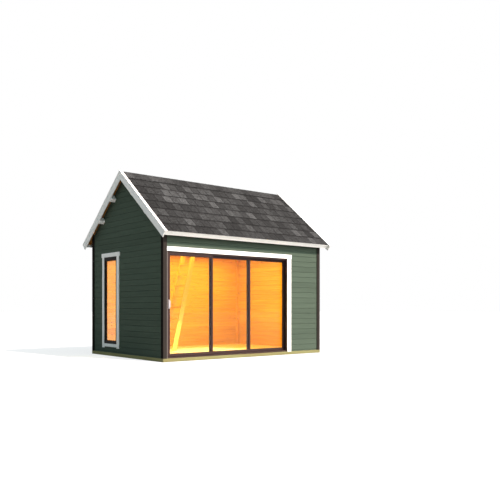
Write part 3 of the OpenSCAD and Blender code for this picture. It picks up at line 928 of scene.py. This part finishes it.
class SHED_OT_shingles(bpy.types.Operator):
    """Lay the shingles tab by tab, and the ridge shingles"""
    bl_idname = "shed.shingles"
    bl_label = "Shingles"

    def execute(self, context):
        """Each course starts half a tab off the one below."""
        for side, slope in ((-1, "front"), (1, "back")):
            self.slope(side, slope + "_shingles")
        self.ridge()
        return {"FINISHED"}

    @staticmethod
    def tones(random, count):
        """Tones of a course: a few shingles are clearly paler or darker than the rest."""
        return np.clip(random.normal(0.47, 0.30, count), 0.0, 1.0)

    def slope(self, side, node):
        """Tabs as flat wedges: the butt shows its thickness on the course below, and the
        head lies thin under the course above. Under them lies one sheet of felt."""
        s = sizes()
        low, high = box(node)
        timber = Timber(30 + side)
        under = -ROOF.shingle_t
        upper, drip = FELT_T + under, ROOF.drip_s - FELT_EDGE
        sheet = ROOF.at(side, [ROOF.plumb(under), drip, drip, ROOF.plumb(upper)],
                        [under, under, upper, upper])
        along_x(timber, sheet, low[0], high[0], tone=0.1)
        for course in range(math.ceil(ROOF.drip_s / s.exposure)):
            butt = ROOF.drip_s - course * s.exposure
            head = max(butt - s.exposure - HEAD_LAP, ROOF.plumb(under) + HEAD_GAP)
            starts = np.arange(low[0] - (course % 2) * s.tab / 2, high[0], s.tab)
            tones = self.tones(timber.random, len(starts))
            for x0, tone in zip(starts, tones):
                a, b = max(x0 + s.slot / 2, low[0]), min(x0 + s.tab - s.slot / 2, high[0])
                if b - a >= LEAST_TAB:
                    self.tab(timber, side, (a, b), (butt, head), tone)
        timber.mesh(node + "_tabs", [shingle_felt], "shed", [node], "shingles")

    @staticmethod
    def tab(timber, side, span, reach, tone):
        """One tab: its section falls from the butt's full thickness to a thin head. Its
        grain map runs up the slope from the butt, which places the painted shade band."""
        butt, head = reach
        head_n = -HEAD_DROP * min(1.0, (butt - head) / (sizes().exposure + HEAD_LAP))
        lowest = FELT_T + FELT_GAP - ROOF.shingle_t
        outline = ROOF.at(side, [butt, butt, head, head],
                          [-sizes().butt, 0.0, head_n, max(head_n - HEAD_T, lowest)])
        along_x(timber, outline, *span, tone=tone, v_start=-sizes().butt)

    def ridge(self):
        """Folded ridge shingles, each lapping the next along the ridge. Their grain map
        starts at -1 m, clear of the tabs' painted shade band."""
        low, high = box("ridge_strip")
        reach = (high[1] - (high[2] - ROOF.ridge_z) * ROOF.cos * ROOF.sin) / ROOF.cos
        thick = (high[2] - ROOF.ridge_z) * ROOF.cos
        timber = Timber(33)
        step = sizes().tab
        tones = self.tones(timber.random, math.ceil((high[0] - low[0]) / step))
        for i, tone in enumerate(tones):
            x0 = low[0] + i * step
            x1 = min(x0 + step + RIDGE_LAP, high[0])
            rings = []
            for x, lift in ((x0, 0.0), (x1, thick * RIDGE_RISE)):
                upper, under = thick * RIDGE_OWN + lift, lift + RIDGE_GAP
                folded = [ROOF.at(side, s, n) for side, s, n in (
                    (-1, reach, under), (-1, reach, upper), (-1, ROOF.plumb(upper), upper),
                    (1, reach, upper), (1, reach, under), (1, ROOF.plumb(under), under))]
                rings.append(np.array(folded) + X * x)
            timber.sweep(rings, tone, v_start=-1.0)
        timber.mesh("ridge_strip_shingles", [shingle_felt], "shed", ["ridge_strip"],
                    "shingles")


class SHED_OT_roof_edge(bpy.types.Operator):
    """Fit the eave fascias, the bargeboards and the cap boards"""
    bl_idname = "shed.roof_edge"
    bl_label = "Roof edge"

    def execute(self, context):
        """Boards along the slope have their section across X and square to the slope."""
        low, high = box("eave_fascias")
        face_s = ROOF.layer_end("eave_fascias")
        thick = face_s - ROOF.deck_end
        fascia_h = (solids("eave_fascias")[0][1][2] - low[2] - thick * ROOF.sin) / ROOF.cos
        timber = Timber(40)
        for side in (-1, 1):
            outline = slope_outline(side, ROOF.deck_end, face_s, -ROOF.shingle_t - fascia_h,
                                    -ROOF.shingle_t, sizes().ease)
            along_x(timber, outline, low[0], high[0], tone=0.6)
        timber.mesh("eave_fascias_timber", [white_paint], "shed", ["eave_fascias"],
                    "white_trim")
        cap = mesh_points("front_cap_boards")
        barge_n = self.out_of_slope(mesh_points("front_bargeboards")).min()
        cap_n, tip_s = self.out_of_slope(cap).max(), self.down_slope(cap).min()
        starts = {-1: lambda n: tip_s, 1: lambda n: n / math.tan(2 * ROOF.pitch)}
        for side, slope in ((-1, "front"), (1, "back")):
            self.pair(slope + "_bargeboards", side, (barge_n, 0.0), ROOF.plumb, 41 + side)
            self.pair(slope + "_cap_boards", side, (0.0, cap_n), starts[side], 44 + side)
        return {"FINISHED"}

    @staticmethod
    def out_of_slope(points):
        """Height n of front-slope points out of the shingles."""
        return (points[:, 2] - ROOF.ridge_z) * ROOF.cos - points[:, 1] * ROOF.sin

    @staticmethod
    def down_slope(points):
        """Distance s of front-slope points down from the ridge."""
        return (ROOF.ridge_z - points[:, 2]) * ROOF.sin - points[:, 1] * ROOF.cos

    @staticmethod
    def pair(node, side, n_range, first, seed):
        """The left and right boards of one slope. Bargeboards are cut plumb at the ridge;
        the front caps run past it, and the back ones stop at the front caps' plane."""
        low, high = box(node)
        board = solids(node)[0]
        width = board[1][0] - board[0][0]
        timber = Timber(seed)
        for x0 in (low[0], high[0] - width):
            slope_board(timber, side, (x0, width), n_range, first,
                        ROOF.layer_end("front_bargeboards"), sizes().ease)
        timber.mesh(node + "_timber", [white_paint], "shed", [node], "white_trim")


# ---- Sliding door ----

def bar_frame(timber, low, high, widths, bead, ease=0.0015):
    """Frame in the XZ plane: two full-height stiles with rails between them. widths are
    the left, right, bottom and top face widths; a glazing bead, set back from both
    faces, forms the inner edge of each bar."""
    left, right, bottom, top = widths
    wide, back = bead
    xs = (low[0] + left, high[0] - right)
    zs = (low[2] + bottom, high[2] - top)
    out_x, out_z = (xs[0] - wide, xs[1] + wide), (zs[0] - wide, zs[1] + wide)
    bars = [(2, 0.0, (x0, x1), (low[2], high[2]))
            for x0, x1 in ((low[0], out_x[0]), (out_x[1], high[0]))]
    bars += [(0, 0.0, out_x, (z0, z1))
             for z0, z1 in ((low[2], out_z[0]), (out_z[1], high[2]))]
    bars += [(2, back, (x0, x0 + wide), out_z) for x0 in (out_x[0], xs[1])]
    bars += [(0, back, xs, (z0, z0 + wide)) for z0 in (out_z[0], zs[1])]
    for axis, inset, (x0, x1), (z0, z1) in bars:
        timber.box_board([x0, low[1] + inset, z0], [x1, high[1] - inset, z1], axis,
                         ease=ease, tone=PLAIN)


def seal_ring(timber, low, high):
    """Rubber seals round both faces of a pane that lies in the XZ plane."""
    w = SEAL_W
    for y0, y1 in ((low[1] - SEAL_T, low[1]), (high[1], high[1] + SEAL_T)):
        for x0 in (low[0], high[0] - w):
            timber.box_board([x0, y0, low[2]], [x0 + w, y1, high[2]], 2, ease=SEAL_EASE)
        for z0 in (low[2], high[2] - w):
            timber.box_board([low[0] + w, y0, z0], [high[0] - w, y1, z0 + w], 0,
                             ease=SEAL_EASE)


def glazed(frame_box, glass_box, bead, **look):
    """The bars and the seals of a frame round a pane. A bar is as wide as the frame
    stands out past the glass."""
    (low, high), (g_low, g_high) = frame_box, glass_box
    bars, seals = Timber(), Timber()
    widths = (g_low[0] - low[0], high[0] - g_high[0], g_low[2] - low[2], high[2] - g_high[2])
    bar_frame(bars, low, high, widths, bead, **look)
    seal_ring(seals, g_low, g_high)
    return bars, seals


class SHED_OT_door(bpy.types.Operator):
    """Build the three leaves, their frame, seals, handle and casings"""
    bl_idname = "shed.door"
    bl_label = "Sliding door"

    def execute(self, context):
        """Leaves keep their CAD boxes and glass; the sections get beads and seals."""
        for leaf, body in (("left", "left_leaf"), ("middle", "middle_leaf"),
                           ("right", "shed")):
            self.leaf(leaf + "_leaf", body)
        self.frame_of_door()
        self.handle()
        for node, axis in (("door_head_casing", 0), ("door_jamb_casing", 2)):
            timbers(node, axis, [white_paint], "white_trim", 50 + axis)
        return {"FINISHED"}

    @staticmethod
    def leaf(name, body):
        """One leaf's stiles, rails, beads and seals."""
        bars, seals = glazed(box(name + "_frame"), box(name + "_glass"), DOOR_BEAD)
        bars.mesh(name + "_sections", [bronze_coat], body, [name + "_frame"],
                  "bronze_aluminium")
        seals.mesh(name + "_seals", [rubber], body, slot="bronze_aluminium")
        coat_node(name + "_glass", pane)

    @staticmethod
    def frame_of_door():
        """Jambs, head and sill keep their CAD shapes. Lips hang from the head between the
        leaves, and a grey strip covers the left jamb's face."""
        for node in ("door_jambs", "door_head", "door_sill"):
            coat_node(node, bronze_coat)
        head, sill = box("door_head"), box("door_sill")
        leaves = [box(n + "_leaf_frame") for n in ("left", "middle", "right")]
        lips = Timber()
        ys = [(a[1][1] + b[0][1]) / 2 for a, b in zip(leaves[:-1], leaves[1:])]
        for y in ys + [leaves[2][1][1] + LIP_T]:
            lips.box_board([head[0][0], y - LIP_T / 2, head[0][2] - LIP_DROP],
                           [head[1][0], y + LIP_T / 2, head[0][2]], 0, ease=LIP_EASE)
        lips.mesh("door_head_lips", [bronze_coat], "shed", slot="bronze_aluminium")
        jambs = box("door_jambs")
        strip = Timber()
        left = jambs[0]
        strip.box_board([left[0] + STRIP_X[0], left[1] - STRIP_T, sill[0][2]],
                        [left[0] + STRIP_X[1], left[1], jambs[1][2]], 2, ease=STRIP_EASE)
        strip.mesh("door_jamb_strip", [grey_coat], "shed", slot="bronze_aluminium")

    @staticmethod
    def handle():
        """A plate with a bow grip: the grip is a round bar along a path whose two elbows
        are quarter circles."""
        low, high = box("left_leaf_handle")
        x = (low[0] + high[0]) / 2
        plate_y = high[1] - PLATE_T
        plate = Timber()
        plate.box_board([low[0], plate_y, low[2]], high, 2, ease=TRIM_EASE)
        plate.mesh("handle_plate", [anodised], "left_leaf", slot="handle_metal")
        z0, z1 = low[2] + GRIP_INSET, high[2] - GRIP_INSET
        turn = np.linspace(0, np.pi / 2, 7)
        lower = ring(x, low[1] + GRIP_RADIUS + GRIP_ELBOW * (1 - np.sin(turn)),
                     z0 + GRIP_ELBOW * (1 - np.cos(turn)))
        upper = lower[::-1] * [1, 1, -1] + [0, 0, z0 + z1]
        path = np.concatenate([[[x, plate_y, z0]], lower, upper, [[x, plate_y, z1]]])
        tube("handle_grip", path, GRIP_RADIUS, "left_leaf", anodised,
             ["left_leaf_handle"], "handle_metal")


# ---- Gable window ----

class SHED_OT_window(bpy.types.Operator):
    """Build the fixed gable window and its casings"""
    bl_idname = "shed.window"
    bl_label = "Gable window"

    def execute(self, context):
        """The frame is worked out facing the door's way and turned a quarter about Z."""
        bars, seals = glazed(self.turn(*box("window_frame")),
                             self.turn(*box("window_glass")), SASH_BEAD, ease=BAR_EASE)
        for part in (bars, seals):
            part.points = [np.stack([p[:, 1], -p[:, 0], p[:, 2]], 1) for p in part.points]
        bars.mesh("window_frame_sections", [sash_paint], "shed", ["window_frame"],
                  "dark_trim")
        seals.mesh("window_seals", [rubber], "shed", slot="dark_trim")
        coat_node("window_glass", pane)
        for node, axis in (("window_head_casing", 1), ("window_side_casings", 2),
                           ("window_apron", 1)):
            timbers(node, axis, [white_paint], "white_trim", 60 + axis)
        return {"FINISHED"}

    @staticmethod
    def turn(low, high):
        """A box turned a quarter so that its Y run lies along X."""
        return (np.array([-high[1], low[0], low[2]]), np.array([-low[1], high[0], high[2]]))


# ---- Stage ----

CAMERA_PLACE = (-9.0335, -11.7126, 1.0681)
CAMERA_YAW = 37.43                       # degrees from square to the door
SUN_FROM = (0.22, -0.70, 0.72)
BRIGHT_SIDE = (0.45, -0.87, 0.20)        # middle of the sky's brighter patch
FLOOR_HALF = 120.0
FLOOR_Z = -0.0005                        # just under the base, so the two don't fight


def seen_by(tree, *rays):
    """1 for the named kinds of ray and 0 for the rest: the largest of their flags."""
    path = add(tree, "ShaderNodeLightPath")
    seen = path.outputs[rays[0]]
    for ray in rays[1:]:
        seen = add(tree, "ShaderNodeMath", {0: seen, 1: path.outputs[ray]},
                   operation="MAXIMUM").outputs[0]
    return seen


def lamp(name, kind, energy, tint):
    """Links a lamp and returns its object."""
    data = bpy.data.lights.new(name, kind)
    data.energy, data.color = energy, tint
    thing = bpy.data.objects.new(name, data)
    bpy.context.scene.collection.objects.link(thing)
    return thing


class SHED_OT_stage(bpy.types.Operator):
    """Set up the floor, the lamps, the sky and the camera"""
    bl_idname = "shed.stage"
    bl_label = "Stage"

    def execute(self, context):
        """A level camera at eye height, one sun, a pale sky and a pale floor."""
        scene = context.scene
        scene.view_settings.view_transform = "Standard"
        self.camera(scene)
        self.sky(scene)
        self.lamps()
        self.floor(scene)
        return {"FINISHED"}

    @staticmethod
    def camera(scene):
        """Seen from the door side, 37 degrees to the left, with upright edges kept upright
        by a shifted lens."""
        data = bpy.data.cameras.new("camera")
        data.lens, data.sensor_width = 45.13, 36.0
        data.shift_x, data.shift_y = 0.09, 0.1156
        data.clip_end = 300.0
        camera = bpy.data.objects.new("camera", data)
        camera.location = CAMERA_PLACE
        camera.rotation_euler = (math.pi / 2, 0.0, -math.radians(CAMERA_YAW))
        scene.collection.objects.link(camera)
        scene.camera = camera

    @staticmethod
    def sky(scene):
        """A dim cool sky with a brighter and warmer patch in front of the door wall: the
        sixth power of the cosine from the patch's middle. It is plain white wherever it
        is seen directly, in a reflection or through glass."""
        world = bpy.data.worlds.new("sky")
        world.use_nodes = True
        tree = world.node_tree
        tree.nodes.clear()
        way = add(tree, "ShaderNodeTexCoord").outputs["Generated"]
        cosine = add(tree, "ShaderNodeVectorMath", {0: way, 1: BRIGHT_SIDE},
                     operation="DOT_PRODUCT").outputs["Value"]
        front = add(tree, "ShaderNodeMath", {0: cosine, 1: 0.0}, operation="MAXIMUM")
        patch = add(tree, "ShaderNodeMath", {0: front, 1: 6.0}, operation="POWER")
        strength = add(tree, "ShaderNodeMath", {0: patch, 1: 5.7, 2: 0.40},
                       operation="MULTIPLY_ADD")
        tint = add(tree, "ShaderNodeMix", {0: patch, 6: (0.76, 1.0, 1.08, 1),
                                           7: (1.0, 0.90, 0.82, 1)}, **RGB_MIX)
        fill = add(tree, "ShaderNodeBackground", {"Color": tint.outputs[2],
                                                  "Strength": strength})
        white = add(tree, "ShaderNodeBackground", {"Color": grey(1.0), "Strength": 1.0})
        seen = seen_by(tree, "Is Camera Ray", "Is Glossy Ray", "Is Transmission Ray")
        both = add(tree, "ShaderNodeMixShader", {0: seen, 1: fill, 2: white})
        add(tree, "ShaderNodeOutputWorld", {"Surface": both})
        scene.world = world

    @staticmethod
    def lamps():
        """A sun over the viewer's right shoulder and a warm ceiling lamp in the room."""
        sun = lamp("sun", "SUN", 7.2, (1.0, 0.80, 0.72))
        sun.data.angle = math.radians(3.0)
        tilt = math.acos(SUN_FROM[2] / math.hypot(*SUN_FROM))
        sun.rotation_euler = (tilt, 0.0, math.atan2(SUN_FROM[0], -SUN_FROM[1]))
        low, high = box("floor_boards")
        room = lamp("room", "AREA", 80.0, (1.0, 0.86, 0.08))
        room.data.shape, room.data.size, room.data.size_y = "RECTANGLE", 3.6, 2.2
        room.location = ((low[0] + high[0]) / 2, 0.0,
                         box("loft_joists")[0][2] - LAMP_DROP)
        for sight in ("camera", "glossy", "transmission"):
            setattr(room, "visible_" + sight, False)

    @staticmethod
    def floor(scene):
        """A wide pale floor that keeps the shed's shadow and looks white to the camera."""
        data = bpy.data.meshes.new("stage_floor")
        corners = [(x * FLOOR_HALF, y * FLOOR_HALF, FLOOR_Z)
                   for x, y in ((-1, -1), (1, -1), (1, 1), (-1, 1))]
        data.from_pydata(corners, [], [(0, 1, 2, 3)])
        material, tree = new_material("Pale studio floor")
        matt = add(tree, "ShaderNodeBsdfDiffuse", {"Color": grey(0.30)})
        seen = seen_by(tree, "Is Camera Ray", "Is Glossy Ray")
        glow = add(tree, "ShaderNodeMath", {0: seen, 1: 0.75}, operation="MULTIPLY")
        light = add(tree, "ShaderNodeEmission", {"Strength": glow})
        both = add(tree, "ShaderNodeAddShader", {0: matt, 1: light})
        add(tree, "ShaderNodeOutputMaterial", {"Surface": both})
        data.materials.append(material)
        floor = bpy.data.objects.new("stage_floor", data)
        scene.collection.objects.link(floor)


# ---- Panel and registration ----

OPERATORS = (SHED_OT_stage, SHED_OT_base, SHED_OT_walls, SHED_OT_corners,
             SHED_OT_roof_frame, SHED_OT_shingles, SHED_OT_roof_edge, SHED_OT_door,
             SHED_OT_window, SHED_OT_loft)


class SHED_PT_panel(bpy.types.Panel):
    """Lists the shed's pieces, sizes and colours"""
    bl_idname = "SHED_PT_panel"
    bl_label = "Garden shed"
    bl_space_type = "VIEW_3D"
    bl_region_type = "UI"
    bl_category = "Shed"

    def draw(self, context):
        """One button for each operator, then the properties."""
        for operator in OPERATORS:
            self.layout.operator(operator.bl_idname)
        for group in (sizes(), colours()):
            column = self.layout.column()
            for name in group.bl_rna.properties.keys():
                if name not in ("rna_type", "name"):
                    column.prop(group, name)


CLASSES = (ShedSizes, ShedColours, *OPERATORS, SHED_PT_panel)


def register():
    """Registers the classes and hangs the property groups on the scene."""
    for cls in CLASSES:
        bpy.utils.register_class(cls)
    bpy.types.Scene.shed_sizes = PointerProperty(type=ShedSizes)
    bpy.types.Scene.shed_colours = PointerProperty(type=ShedColours)


def unregister():
    """Takes the property groups and the classes away again."""
    del bpy.types.Scene.shed_colours
    del bpy.types.Scene.shed_sizes
    for cls in reversed(CLASSES):
        bpy.utils.unregister_class(cls)


def main():
    """Builds every piece in order."""
    register()
    for operator in OPERATORS:
        group, name = operator.bl_idname.split(".")
        getattr(getattr(bpy.ops, group), name)()


if __name__ == "__main__":
    main()
